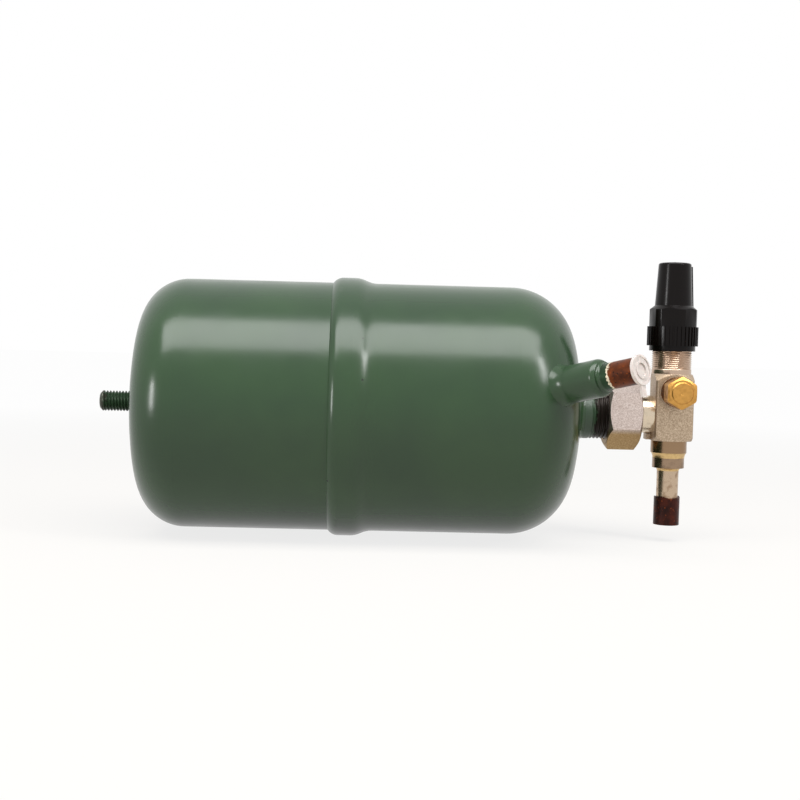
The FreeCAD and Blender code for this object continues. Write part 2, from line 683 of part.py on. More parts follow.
# The valve's forged body with its turned neck and tail, bored for spindle, gland, union and gauge port
def valve_body():
    body = new_body("valve_body")
    padded(body, "forging", "XY_Plane", body_corners(), s.body_head + s.body_foot, -s.body_foot)
    far = s.body_width + s.body_front
    spun(body, "shoulder", [
        (s.shoulder_radius, s.body_head),
        (s.shoulder_radius + s.shoulder_drop, s.body_head - s.shoulder_drop),
        (far, s.body_head - s.shoulder_drop),
        (far, s.body_head + s.shoulder_drop),
        (s.shoulder_radius, s.body_head + s.shoulder_drop),
    ], "Z", cut=True)
    foot_edge = s.body_front + s.body_corner
    spun(body, "foot", [
        (foot_edge, -s.body_foot),
        (foot_edge + s.foot_bevel, s.foot_bevel - s.body_foot),
        (far, s.foot_bevel - s.body_foot),
        (far, -s.body_foot - s.foot_bevel),
        (foot_edge, -s.body_foot - s.foot_bevel),
    ], "Z", cut=True)
    spun(body, "neck", [
        (ZERO, s.body_head),
        (s.neck_radius, s.body_head),
        (s.neck_radius, s.neck_top - s.neck_chamfer),
        (s.neck_radius - s.neck_chamfer, s.neck_top),
        (ZERO, s.neck_top),
    ], "Z")
    tail_end = -s.body_foot - s.tail_length
    spun(body, "tail", [
        (ZERO, tail_end),
        (s.tail_radius, tail_end),
        (s.tail_radius, -s.body_foot),
        (ZERO, -s.body_foot),
    ], "Z")
    lug_side = -s.body_width / 2
    lug = box_corners(lug_side - s.lug_thick, ZERO, lug_side + s.body_corner, s.body_back - s.body_back_corner / 2)
    padded(body, "lug", "XY_Plane", lug, s.lug_height, -s.body_foot)
    pad_top = s.body_front + s.gauge_pad_thick
    padded_round(body, "gauge_pad", s.gauge_height, s.gauge_pad, s.body_front - s.body_corner, pad_top)
    spun(body, "spindle_bore", [
        (ZERO, tail_end),
        (s.adaptor_neck + s.seat_gap, tail_end),
        (s.adaptor_neck + s.seat_gap, tail_end + s.tail_socket),
        (s.port_radius, tail_end + s.tail_socket),
        (s.port_radius, -s.seat_height),
        (s.chamber_radius, -s.seat_height),
        (s.chamber_radius, s.guide_floor),
        (s.guide_radius + s.running_gap, s.guide_floor),
        (s.guide_radius + s.running_gap, s.gland_floor),
        (s.gland_bore, s.gland_floor),
        (s.gland_bore, s.neck_top),
        (ZERO, s.neck_top),
    ], "Z", cut=True)
    middle = (ZERO, ZERO)
    half = s.body_width / 2
    face_depth = s.lug_thick + s.free_gap
    drilled(body, "union_face", "YZ_Plane", middle, s.spigot_radius + s.free_gap, face_depth,
            -half - face_depth, True)
    drilled(body, "union_bore", "YZ_Plane", middle, s.pilot_radius + s.seat_gap, s.pilot_depth, -half, True)
    drilled(body, "union_passage", "YZ_Plane", middle, s.passage_radius, half, -half, True)
    port = (ZERO, s.gauge_height)
    drilled(body, "gauge_bore", "XZ_Plane", port, s.gauge_pilot + s.seat_gap, s.gauge_pilot_depth, pad_top)
    drilled(body, "gauge_drilling", "XZ_Plane", port, s.gauge_hole, s.body_front, pad_top)
    at_valve(body)


def padded_round(body, name, height, radius, start, end):
    """A round pad on the front, between two distances from the spindle."""
    sketch = body.newObject("Sketcher::SketchObject", f"{name}_circle")
    plane = next(f for f in body.Origin.OriginFeatures if f.Role == "XZ_Plane")
    sketch.AttachmentSupport = (plane, [""])
    sketch.MapMode = "FlatFace"
    sketch.setExpression("AttachmentOffset.Base.z", start.text)
    sketch.addGeometry(Part.Circle(Vector(0, height.value, 0), Vector(0, 0, 1), radius.value), False)
    sketch.addConstraint(Sketcher.Constraint("PointOnObject", 0, 3, -2))
    place = sketch.addConstraint(Sketcher.Constraint("DistanceY", -1, 1, 0, 3, height.value))
    sketch.setExpression(f"Constraints[{place}]", height.text)
    bend = sketch.addConstraint(Sketcher.Constraint("Radius", 0, radius.value))
    sketch.setExpression(f"Constraints[{bend}]", radius.text)
    pad = body.newObject("PartDesign::Pad", name)
    pad.Profile = sketch
    pad.setExpression("Length", (end - start).text)
    body.Tip = pad
    doc.recompute()


# Below the forging: adaptor, outlet tube and copper cup, joined by two rings of braze
def outlet():
    tail_end = -s.body_foot - s.tail_length
    collar_top = tail_end - s.braze_height
    collar_foot = collar_top - s.adaptor_length
    tube_top = tail_end
    tube_foot = collar_foot - s.outlet_length - s.cup_lap
    cup_top = tube_foot + s.cup_lap
    cup_foot = cup_top - s.cup_length
    tube_bore = s.outlet_radius + s.seat_gap
    adaptor = turned("outlet_adaptor", [
        (s.port_radius, tail_end + s.tail_socket - s.seat_gap),
        (s.port_radius, tube_top),
        (tube_bore, tube_top),
        (tube_bore, collar_foot),
        (s.adaptor_radius, collar_foot),
        (s.adaptor_radius, collar_top),
        (s.adaptor_neck, collar_top),
        (s.adaptor_neck, tail_end + s.tail_socket - s.seat_gap),
    ], "Z")
    neck = s.adaptor_neck + s.seat_gap
    ring = turned("adaptor_braze", [
        (neck, collar_top),
        (s.adaptor_radius, collar_top),
        (s.tail_radius - s.seat_gap, tail_end, -s.braze_height * 1.6),
        (neck, tail_end),
    ], "Z")
    tube = turned("outlet_tube", [
        (s.outlet_radius - s.outlet_wall, tube_foot),
        (s.outlet_radius, tube_foot),
        (s.outlet_radius, tube_top - s.seat_gap),
        (s.outlet_radius - s.outlet_wall, tube_top - s.seat_gap),
    ], "Z")
    fillet = turned("tube_braze", [
        (tube_bore, collar_foot),
        (tube_bore, collar_foot - s.outlet_braze),
        (tube_bore + s.outlet_braze, collar_foot, -s.outlet_braze * 1.2),
    ], "Z")
    cup = turned("outlet_cup", [
        (s.cup_bore, cup_foot),
        (s.cup_radius, cup_foot),
        (s.cup_radius, cup_top),
        (tube_bore, cup_top),
        (tube_bore, tube_foot - s.seat_gap),
        (s.cup_bore, tube_foot - s.seat_gap),
    ], "Z")
    for body in (adaptor, ring, tube, fillet, cup):
        at_valve(body)


# The spindle with its loose disc on the seat, and the packing and gland nut that seal it
def spindle():
    disc_top = s.disc_thick - s.seat_height
    pin_foot = disc_top - s.disc_pin_length
    disc = turned("valve_disc", [
        (ZERO, -s.seat_height),
        (s.disc_radius, -s.seat_height),
        (s.disc_radius, disc_top),
        (s.disc_pin + s.running_gap, disc_top),
        (s.disc_pin + s.running_gap, pin_foot - s.running_gap),
        (ZERO, pin_foot - s.running_gap),
    ], "Z")
    stem = turned("spindle", [
        (ZERO, pin_foot),
        (s.disc_pin, pin_foot),
        (s.disc_pin, disc_top),
        (s.stem_lower, disc_top),
        (s.stem_lower, s.guide_floor),
        (s.guide_radius, s.guide_floor),
        (s.guide_radius, s.guide_floor + s.stem_thread),
        (s.stem_radius, s.guide_floor + s.stem_thread),
        (s.stem_radius, s.stem_shoulder),
        (ZERO, s.stem_shoulder),
    ], "Z")
    half = s.stem_square / 2
    padded(stem, "square", "XY_Plane", box_corners(-half, -half, half, half), s.stem_top - s.stem_shoulder,
           s.stem_shoulder)
    bore = s.stem_radius + s.running_gap
    rim = s.gland_bore - s.seat_gap
    washer_top = s.gland_floor + s.washer_thick
    packing_top = washer_top + s.packing_thick
    gland_top = packing_top + s.gland_length
    rings = [disc, stem]
    for label, low, high in (
        ("packing_washer", s.gland_floor, washer_top),
        ("stem_packing", washer_top, packing_top),
        ("gland_nut", packing_top, gland_top),
    ):
        rings.append(turned(label, [(bore, low), (rim, low), (rim, high), (bore, high)], "Z"))
    slot = box_corners(-s.gland_bore, -s.gland_slot / 2, s.gland_bore, s.gland_slot / 2)
    cut = rings[-1].newObject("PartDesign::Pocket", "spanner_slot")
    cut.Profile = drawing(rings[-1], "slot_outline", "XY_Plane", slot, gland_top)
    cut.setExpression("Length", s.gland_slot_depth.text)
    rings[-1].Tip = cut
    for body in rings:
        at_valve(body)


# The plastic cap over the spindle: threaded skirt with ribs, hexagon, tapered tower, and its seal
def stem_cap():
    seal_top = s.neck_top + s.seal_thick
    seal_rim = s.neck_radius - s.free_gap
    seal = turned("cap_seal", [
        (seal_rim - s.seal_width, s.neck_top),
        (seal_rim, s.neck_top),
        (seal_rim, seal_top),
        (seal_rim - s.seal_width, seal_top),
    ], "Z")
    skirt_foot = s.cap_foot + s.cap_foot_length
    skirt_top = skirt_foot + s.cap_skirt_length
    hex_top = skirt_top + s.cap_hex_length
    cap = new_body("stem_cap")
    padded(cap, "cap_hexagon", "XY_Plane", hexagon(s.cap_flats, 30), s.cap_hex_length, skirt_top)
    far = s.cap_flats
    spun(cap, "cap_corners", [
        (s.cap_hex_round, skirt_top),
        (far, skirt_top),
        (far, hex_top),
        (s.cap_tower_base, hex_top),
        (s.cap_hex_round, hex_top - s.cap_hex_bevel),
    ], "Z", cut=True)
    cut_in = s.cap_round * (1 - math.sqrt(0.5))
    spun(cap, "cap_tower", [
        (ZERO, hex_top),
        (s.cap_tower_base, hex_top),
        (s.cap_tower_tip, s.cap_top - s.cap_round),
        (s.cap_tower_tip - cut_in, s.cap_top - cut_in, s.cap_round),
        (s.cap_tower_tip - s.cap_round, s.cap_top, s.cap_round),
        (ZERO, s.cap_top),
    ], "Z")
    ridge = s.cap_ridge_height
    ridge_top = s.cap_top - s.cap_ridge_drop
    padded(cap, "cap_ridge", "XZ_Plane", [
        (s.cap_tower_tip - ridge, hex_top - ridge),
        (s.cap_tower_base + ridge, hex_top - ridge),
        (s.cap_tower_tip + ridge, ridge_top),
        (s.cap_tower_tip - ridge, ridge_top),
    ], s.cap_ridge_width, -s.cap_ridge_width / 2)
    spun(cap, "cap_skirt", [
        (ZERO, s.cap_foot),
        (s.cap_foot_radius, s.cap_foot),
        (s.cap_foot_radius, skirt_foot),
        (s.cap_skirt_radius, skirt_foot),
        (s.cap_skirt_radius, skirt_top),
        (ZERO, skirt_top),
    ], "Z")
    half = s.cap_rib_width / 2
    rib_top = s.cap_skirt_radius + s.cap_rib_height
    rib = padded(cap, "cap_rib", "XY_Plane", [
        (s.cap_skirt_radius - s.cap_rib_height, -half),
        (rib_top, -half / 2),
        (rib_top, half / 2),
        (s.cap_skirt_radius - s.cap_rib_height, half),
    ], s.cap_skirt_length, skirt_foot)
    ribs = cap.newObject("PartDesign::PolarPattern", "cap_ribs")
    ribs.Originals = [rib]
    ribs.Axis = (rib.Profile[0], ["N_Axis"])
    ribs.Angle = 360
    ribs.setExpression("Occurrences", s.cap_ribs.text)
    cap.Tip = ribs
    doc.recompute()
    thread = s.neck_radius + s.running_gap
    roof = s.cap_top - s.cap_roof
    spun(cap, "cap_bore", [
        (ZERO, s.cap_foot),
        (thread, s.cap_foot),
        (thread, seal_top),
        (s.cap_hollow, seal_top),
        (s.cap_hollow, roof),
        (ZERO, roof),
    ], "Z", cut=True)
    cap.Placement = Placement(Vector(), Rotation(Vector(0, 0, 1), s.cap_roll.value))
    for body in (seal, cap):
        at_valve(body)


# The gauge port: a turned nipple in the forging's front, its seal and its hexagon cap
def gauge_port():
    thread_end = s.gauge_nose_length + s.gauge_thread_length
    nipple = turned("gauge_nipple", [
        (s.gauge_hole, -s.gauge_pilot_depth),
        (s.gauge_pilot, -s.gauge_pilot_depth),
        (s.gauge_pilot, ZERO),
        (s.gauge_nose, ZERO),
        (s.gauge_nose, s.gauge_nose_length),
        (s.gauge_thread, s.gauge_nose_length),
        (s.gauge_thread, thread_end),
        (s.gauge_hole, thread_end),
    ], "Z")
    seal_end = thread_end + s.gauge_seal_thick
    seal = turned("gauge_seal", [
        (ZERO, thread_end),
        (s.gauge_seal_radius, thread_end),
        (s.gauge_seal_radius, seal_end),
        (ZERO, seal_end),
    ], "Z")
    start = s.gauge_nose_length + s.gauge_cap_gap
    end = start + s.gauge_cap_length
    cap = new_body("gauge_cap")
    padded(cap, "gauge_hexagon", "XY_Plane", hexagon(s.gauge_cap_flats), s.gauge_cap_length, start)
    corner = s.gauge_cap_flats / math.sqrt(3) + 1
    inset = s.gauge_cap_round - s.gauge_cap_relief * 3
    fall = (corner - inset) * s.nut_bevel.turn("tan")
    spun(cap, "gauge_bevel", [
        (inset, end),
        (corner, end - fall),
        (corner, end + fall),
        (inset, end + fall),
    ], "Z", cut=True)
    spun(cap, "gauge_corners", [
        (s.gauge_cap_round, start),
        (corner, start),
        (corner, end),
        (s.gauge_cap_round, end),
    ], "Z", cut=True)
    spun(cap, "gauge_face", [
        (ZERO, end),
        (s.gauge_cap_face, end),
        (s.gauge_cap_face - s.gauge_cap_relief, end + s.gauge_cap_relief),
        (ZERO, end + s.gauge_cap_relief),
    ], "Z")
    bore = s.gauge_thread + s.running_gap
    spun(cap, "gauge_cap_bore", [
        (ZERO, start),
        (bore, start),
        (bore, seal_end),
        (ZERO, seal_end),
    ], "Z", cut=True)
    front = s.body_front + s.gauge_pad_thick
    upright = Rotation(Vector(1, 0, 0), 90)
    for body, turn in ((nipple, 0), (seal, 0), (cap, 30)):
        body.Placement = Placement(Vector(), upright * Rotation(Vector(0, 0, 1), turn))
        body.setExpression(".Placement.Base.y", (-front).text)
        body.setExpression(".Placement.Base.z", s.gauge_height.text)
        at_valve(body)


stud_end_shell()
valve_end_shell()
seam_weld()
mounting_stud()
outlet_spud()
spud_weld()
inlet()
inlet_plug()
union()
valve_body()
outlet()
spindle()
stem_cap()
gauge_port()
doc.recompute()

for thing in doc.Objects:
    if "Invalid" in thing.State or "Error" in thing.State:
        raise ValueError(f"{thing.Label} failed: {thing.State}")
for piece in pieces:
    if piece.Shape.isNull() or not piece.Shape.isValid() or not piece.Shape.Solids:
        raise ValueError(f"{piece.Label} has no sound solid")

os.makedirs("parts", exist_ok=True)
for piece in pieces:
    piece.Shape.exportStep(f"parts/{piece.Label}.step")
    box = piece.Shape.BoundBox
    print(f"{piece.Label}: {len(piece.Shape.Solids)} solid, {piece.Shape.Volume:.0f} mm3, "
          f"x {box.XMin:.1f} to {box.XMax:.1f}, y {box.YMin:.1f} to {box.YMax:.1f}, "
          f"z {box.ZMin:.1f} to {box.ZMax:.1f}")
way = boss_frame()
print("inlet axis", way.Rotation.multVec(Vector(0, 0, 1)), "from", way.Base)
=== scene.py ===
# %% [markdown]
# # A refrigerant receiver lying on a table
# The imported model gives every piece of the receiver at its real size, in metres.
# This script gives the pieces their finishes, cuts the fine threads that the model leaves out,
# and adds the lamps and the camera.

import json
import math

import bmesh
import bpy
from mathutils import Matrix, Vector


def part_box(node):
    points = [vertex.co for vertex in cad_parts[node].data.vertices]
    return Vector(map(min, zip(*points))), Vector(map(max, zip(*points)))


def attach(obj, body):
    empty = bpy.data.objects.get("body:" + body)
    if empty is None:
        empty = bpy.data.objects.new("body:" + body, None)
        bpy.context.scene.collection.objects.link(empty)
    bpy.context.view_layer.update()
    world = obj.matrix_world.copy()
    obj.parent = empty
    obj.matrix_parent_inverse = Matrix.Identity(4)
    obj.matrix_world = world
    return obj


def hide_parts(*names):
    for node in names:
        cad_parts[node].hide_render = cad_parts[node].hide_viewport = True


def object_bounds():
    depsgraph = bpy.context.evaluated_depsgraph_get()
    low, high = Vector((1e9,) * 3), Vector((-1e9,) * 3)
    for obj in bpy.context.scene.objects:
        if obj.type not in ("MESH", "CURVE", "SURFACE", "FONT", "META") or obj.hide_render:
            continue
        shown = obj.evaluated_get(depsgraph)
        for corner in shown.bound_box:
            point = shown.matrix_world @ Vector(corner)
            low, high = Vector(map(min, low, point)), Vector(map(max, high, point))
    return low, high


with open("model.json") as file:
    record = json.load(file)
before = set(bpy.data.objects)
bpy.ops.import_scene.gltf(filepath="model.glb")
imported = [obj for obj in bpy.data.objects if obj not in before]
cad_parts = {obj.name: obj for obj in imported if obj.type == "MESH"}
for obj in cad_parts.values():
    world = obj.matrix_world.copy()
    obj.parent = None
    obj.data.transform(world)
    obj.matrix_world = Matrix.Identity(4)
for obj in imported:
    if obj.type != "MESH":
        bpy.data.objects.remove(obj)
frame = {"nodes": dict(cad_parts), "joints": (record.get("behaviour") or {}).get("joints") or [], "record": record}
CAD_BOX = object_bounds()
NODES = frame["nodes"]
MM = 0.001
print("nodes", len(NODES), "box", [tuple(round(c, 4) for c in corner) for corner in CAD_BOX])

# %% [markdown]
# Some places come up again and again: the valve's spindle stands at one place along the tank, and the
# inlet leaves the tank along a slanted axis. They are read once from the model's own boxes.

# %% Places on the receiver
valve_low, valve_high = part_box("outlet_cup")
VALVE_X = (valve_low.x + valve_high.x) / 2
SPUD_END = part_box("outlet_spud")[1].x
STUD_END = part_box("mounting_stud")[0].x
NECK_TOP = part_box("valve_body")[1].z
CAP_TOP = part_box("stem_cap")[1].z
CUP_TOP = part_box("outlet_cup")[1].z
joint = next(j for j in frame["joints"] if j["name"] == "inlet_plug_pull")
INLET_WAY = Vector(joint["axis"]).normalized()
print("valve at x", round(VALVE_X, 4), "inlet axis", tuple(round(c, 3) for c in INLET_WAY))

# %% [markdown]
# A camera is a place, a direction and a lens. These come from fitting the tank's outline in the
# photograph, so that the render frames the receiver as the photograph does. The picture is slightly
# rolled, as a hand-held camera's is.

# %% Camera
CAMERA_PLACE = Vector((0.11328, -0.62758, 0.03268))
YAW, PITCH, ROLL = 0.0256, -0.0459, 0.0265
FOCAL_PIXELS = 1276.2
PICTURE = 800


def camera_axes(yaw, pitch, roll):
    """The way a camera looks, its right and its up."""
    ahead = Vector((math.sin(yaw) * math.cos(pitch), math.cos(yaw) * math.cos(pitch), math.sin(pitch)))
    level = Vector((math.cos(yaw), -math.sin(yaw), 0))
    above = level.cross(ahead)
    right = level * math.cos(roll) + above * math.sin(roll)
    return ahead, right, right.cross(ahead)


ahead, right, above = camera_axes(YAW, PITCH, ROLL)
lens = bpy.data.cameras.new("photo_camera")
lens.lens = FOCAL_PIXELS * lens.sensor_width / PICTURE
camera = bpy.data.objects.new("photo_camera", lens)
bpy.context.scene.collection.objects.link(camera)
camera.matrix_world = Matrix.Translation(CAMERA_PLACE) @ Matrix((right, above, -ahead)).transposed().to_4x4()
bpy.context.scene.camera = camera
bpy.context.scene.view_settings.view_transform = "Standard"
print("lens", round(lens.lens, 1), "mm")

# %% [markdown]
# Materials are small graphs of nodes. Colours are written as the hex values that a paint chart gives,
# and one function turns them into the linear values that the shader wants. Another adds a node, sets
# its sockets and joins it up, so each finish below reads as a short recipe.

# %% Helpers for colours and nodes


def linear(code):
    """An sRGB hex colour as linear red, green and blue, with an alpha of one."""
    values = [int(code[i:i + 2], 16) / 255 for i in (1, 3, 5)]
    return (*[v / 12.92 if v <= 0.04045 else ((v + 0.055) / 1.055) ** 2.4 for v in values], 1.0)


def node(tree, kind, sockets=None, **settings):
    """A new node with its settings; each socket gets a value, or a link from another socket."""
    made = tree.nodes.new(kind)
    for name, value in settings.items():
        setattr(made, name, value)
    for name, value in (sockets or {}).items():
        if isinstance(value, bpy.types.NodeSocket):
            tree.links.new(value, made.inputs[name])
        else:
            made.inputs[name].default_value = value
    return made


def finish(name, **constants):
    """A new material and its shader, with the constants set on the shader's own sockets."""
    material = bpy.data.materials.new(name)
    material.use_nodes = True
    shader = material.node_tree.nodes["Principled BSDF"]
    for socket, value in constants.items():
        shader.inputs[socket.replace("_", " ")].default_value = value
    return material, material.node_tree, shader


def per_mm(size):
    """A texture scale whose features are about this many millimetres across."""
    return 1 / (size * MM)


def place(tree, shift=(0, 0, 0)):
    """Object coordinates in metres, moved by a shift."""
    here = node(tree, "ShaderNodeTexCoord").outputs["Object"]
    return node(tree, "ShaderNodeMapping", {"Vector": here, "Location": shift}).outputs["Vector"]


def noise(tree, where, size, detail=2.0, rough=0.5):
    """Soft random values from 0 to 1 with features of a size in millimetres."""
    return node(tree, "ShaderNodeTexNoise", {"Vector": where, "Scale": per_mm(size), "Detail": detail,
                                             "Roughness": rough}).outputs["Fac"]


def ramp(tree, value, low, high, start=0.0, end=1.0):
    """A value brought from one range to another and held inside it."""
    return node(tree, "ShaderNodeMapRange", {"Value": value, "From Min": low, "From Max": high,
                                             "To Min": start, "To Max": end}).outputs["Result"]


def math_node(tree, operation, first, second):
    """Two values added, multiplied or compared."""
    return node(tree, "ShaderNodeMath", {0: first, 1: second}, operation=operation).outputs[0]


def blend_colours(tree, share, first, second):
    """One colour over another, by a share from 0 to 1."""
    return node(tree, "ShaderNodeMix", {0: share, 6: first, 7: second}, data_type="RGBA").outputs[2]


def bump(tree, height, depth, strength):
    """A bump of a depth in millimetres."""
    return node(tree, "ShaderNodeBump", {"Height": height, "Distance": depth * MM,
                                         "Strength": strength}).outputs["Normal"]


def join(tree, output, shader, socket):
    """Links an output to one of the shader's named sockets."""
    tree.links.new(output, shader.inputs[socket])


# %% [markdown]
# ## The green paint
# The shells are deep-drawn steel with a semi-gloss enamel sprayed on after welding. The eye sees a soft
# deep green with a broad sheen, a faint orange peel and a few dark chips where the paint was knocked.
# Spray falls short on the spud: there the paint ends in ragged patches on the first turns of the thread.

# %% Green enamel on steel
PAINT = linear("#294128")
PAINT_DEEP = linear("#253b26")
CHIP = linear("#101a10")


def enamel(name):
    """Semi-gloss enamel: slightly cloudy colour, orange peel, and rare chips under a millimetre wide."""
    material, tree, shader = finish(name, Specular_IOR_Level=0.4)
    where = place(tree)
    cloud = ramp(tree, noise(tree, where, 40), 0.35, 0.65)
    colour = blend_colours(tree, cloud, PAINT_DEEP, PAINT)
    chip_size, chip_spacing = 0.6, 14
    chips = node(tree, "ShaderNodeTexVoronoi", {"Vector": where, "Scale": per_mm(chip_spacing)})
    chip = ramp(tree, chips.outputs["Distance"], chip_size / chip_spacing, 0.7 * chip_size / chip_spacing)
    rare = ramp(tree, node(tree, "ShaderNodeSeparateColor",
                           {"Color": chips.outputs["Color"]}).outputs["Red"], 0.72, 0.74)
    chip = math_node(tree, "MULTIPLY", chip, rare)
    join(tree, blend_colours(tree, chip, colour, CHIP), shader, "Base Color")
    peel = noise(tree, where, 2.5, detail=1.0)
    join(tree, bump(tree, peel, 0.04, 0.25), shader, "Normal")
    join(tree, ramp(tree, noise(tree, where, 12), 0.3, 0.7, 0.2, 0.25), shader, "Roughness")
    return material


ENAMEL = enamel("green_enamel")
print("enamel ready")


# %% [markdown]
# The stud's threads are painted over too. Dark steel shows on the crests of the last turns, as if
# handling had worn the paint off.

# %% Painted thread
def worn_enamel(name, axis, start, end, steel):
    """Enamel that gives way to dark steel between two places along an axis, in ragged patches."""
    material, tree, shader = finish(name, Roughness=0.38)
    where = place(tree)
    along = node(tree, "ShaderNodeSeparateXYZ", {"Vector": where}).outputs[axis]
    patches = noise(tree, where, 2.2, detail=3.0)
    reach = math_node(tree, "ADD", ramp(tree, along, start, end), ramp(tree, patches, 0.3, 0.7, -0.35, 0.35))
    bare = ramp(tree, reach, 0.42, 0.58)
    join(tree, blend_colours(tree, bare, PAINT_DEEP, steel), shader, "Base Color")
    join(tree, ramp(tree, bare, 0, 1, 0.0, 0.6), shader, "Metallic")
    join(tree, bump(tree, noise(tree, where, 0.9), 0.03, 0.3), shader, "Normal")
    return material


STUD_FINISH = worn_enamel("worn_painted_thread", "X", -10.5 * MM, -18.5 * MM, linear("#3a3d33"))
SPUD_FINISH = worn_enamel("oversprayed_black_oxide", "X", 222.5 * MM, 226.5 * MM, linear("#241d19"))


# %% [markdown]
# ## Zinc plate on the nut
# The union nut looks shot blasted and zinc plated. Its face isn't smooth: grains of about half a
# millimetre each catch the light in their own way, so it glitters. The nut's lower side is painted
# gold: a painted reflection of the table below, put into the plate's colour. Whether that is the
# plate or a reflection of the table can't be told, so the tint here is a guess.

# %% Blasted zinc plate
def grained_plate(name, dark, light, grain, depth, rough):
    """Plated steel with a random grain that glitters."""
    material, tree, shader = finish(name, Metallic=1.0)
    where = place(tree)
    cells = noise(tree, where, grain, detail=3.0, rough=0.65)
    join(tree, blend_colours(tree, ramp(tree, cells, 0.36, 0.66), dark, light), shader, "Base Color")
    join(tree, ramp(tree, cells, 0.3, 0.7, rough + 0.12, rough - 0.1), shader, "Roughness")
    join(tree, bump(tree, cells, depth, 0.8), shader, "Normal")
    return material, tree, shader, where, cells


def zinc_with_painted_reflection(name):
    """Blasted zinc with a gold painted reflection of the table along its lower side.
    Blasted zinc with a guessed gold tint along its lower side.
    """
    material, tree, shader, where, cells = grained_plate(
        name, linear("#a4938a"), linear("#d8cbc4"), 0.55, 0.06, 0.42)
    height = node(tree, "ShaderNodeSeparateXYZ", {"Vector": where}).outputs["Z"]
    # The lower side is painted gold by height: a painted reflection of the table below the nut.
    yellow = ramp(tree, height, -6.5 * MM, -9.5 * MM)
    plate = shader.inputs["Base Color"].links[0].from_socket
    tint = blend_colours(tree, ramp(tree, cells, 0.36, 0.66), linear("#907147"), linear("#b79a6c"))
    join(tree, blend_colours(tree, yellow, plate, tint), shader, "Base Color")
    return material


ZINC = zinc_with_painted_reflection("blasted_zinc_painted_reflection")


# %% [markdown]
# ## The valve's forging
# The valve's body looks hot forged, shot blasted and plated with a yellowish zinc. The blasted skin
# stays where no tool has been. Neck, tail and the pad round the gauge port look turned, smooth and
# bright. One material does both: neck and tail are told apart by their height, and the pad by how far
# forward it stands. The tail is painted darker, as a painted reflection of the table below it. The
# tail is darker in the photograph. That may be the table's reflection, so its colour is a guess too.

# %% Forged and turned plate
NECK_START, TAIL_START, PAD_FACE = 20.0 * MM, -12.8 * MM, -10.9 * MM
TOOL_EDGE = 0.1 * MM


def forged_plate(name):
    """Blasted skin, and smooth metal where a tool has turned the neck, the tail and the pad; the tail is painted
    darker as a reflection.
    """
    material, tree, shader, where, cells = grained_plate(
        name, linear("#96826c"), linear("#c9b59d"), 0.5, 0.06, 0.44)
    axes = node(tree, "ShaderNodeSeparateXYZ", {"Vector": where})
    height, depth = axes.outputs["Z"], axes.outputs["Y"]
    neck = ramp(tree, height, NECK_START - TOOL_EDGE, NECK_START + TOOL_EDGE)
    tail = ramp(tree, height, TAIL_START + TOOL_EDGE, TAIL_START - TOOL_EDGE)
    pad = ramp(tree, depth, PAD_FACE + TOOL_EDGE, PAD_FACE - TOOL_EDGE)
    turned = math_node(tree, "MAXIMUM", math_node(tree, "MAXIMUM", neck, tail), pad)
    base = shader.inputs["Base Color"].links[0].from_socket
    rough = shader.inputs["Roughness"].links[0].from_socket
    skin = shader.inputs["Normal"].links[0].from_node
    # The turned tail gets a darker colour: a painted reflection of the table below it.
    bright = blend_colours(tree, tail, linear("#bfa894"), linear("#94795e"))
    join(tree, blend_colours(tree, turned, base, bright), shader, "Base Color")
    smoother = node(tree, "ShaderNodeMix", {0: turned, 2: rough, 3: 0.24}).outputs[0]
    join(tree, smoother, shader, "Roughness")
    tree.links.new(ramp(tree, turned, 0, 1, 0.8, 0.04), skin.inputs["Strength"])
    return material


FORGED = forged_plate("forged_yellow_zinc_painted_reflection")


# %% [markdown]
# Turned and plated steel carries the fine rings that the tool leaves. They stretch each reflection
# into a streak along the piece.

# %% Turned plate
def turned_metal(name, colour, axis, rough=0.22, pitch=0.35, stain=None):
    """Bright turned metal with tool rings across an axis and faint stains."""
    material, tree, shader = finish(name, Metallic=1.0)
    where = place(tree)
    along = node(tree, "ShaderNodeSeparateXYZ", {"Vector": where}).outputs[axis]
    rings = node(tree, "ShaderNodeTexNoise", {"W": along, "Scale": per_mm(pitch), "Detail": 2.0},
                 noise_dimensions="1D").outputs["Fac"]
    clouds = noise(tree, where, 3.0, detail=3.0)
    tint = stain or tuple(0.72 * c for c in colour[:3]) + (1.0,)
    join(tree, blend_colours(tree, ramp(tree, clouds, 0.5, 0.75), colour, tint), shader, "Base Color")
    join(tree, ramp(tree, clouds, 0.3, 0.7, rough - 0.05, rough + 0.08), shader, "Roughness")
    join(tree, bump(tree, rings, 0.02, 0.5), shader, "Normal")
    return material


TURNED_Z = turned_metal("turned_plate_upright", linear("#98806a"), "Z")
TURNED_X = turned_metal("turned_plate_lengthwise", linear("#d3c3ac"), "X", rough=0.18)
TURNED_Y = turned_metal("turned_nipple", linear("#b3a38f"), "Y")
DRAWN_TUBE = turned_metal("plated_outlet_tube", linear("#bda78f"), "Z", rough=0.26, stain=linear("#86694f"))
DRAWN_STEEL = turned_metal("drawn_steel_tube", linear("#9a9a98"), "X", rough=0.35)
SPINDLE_STEEL = turned_metal("turned_spindle_steel", linear("#b0aea8"), "Z", rough=0.25)

# %% [markdown]
# ## Brass and braze
# The gauge cap looks turned from brass bar: its face has faint rings round a small centre mark. The
# braze is a paler yellow, and it froze as it flowed, so it is lumpy and dull in places.

# %% Brass
GAUGE_Z = 11.5 * MM


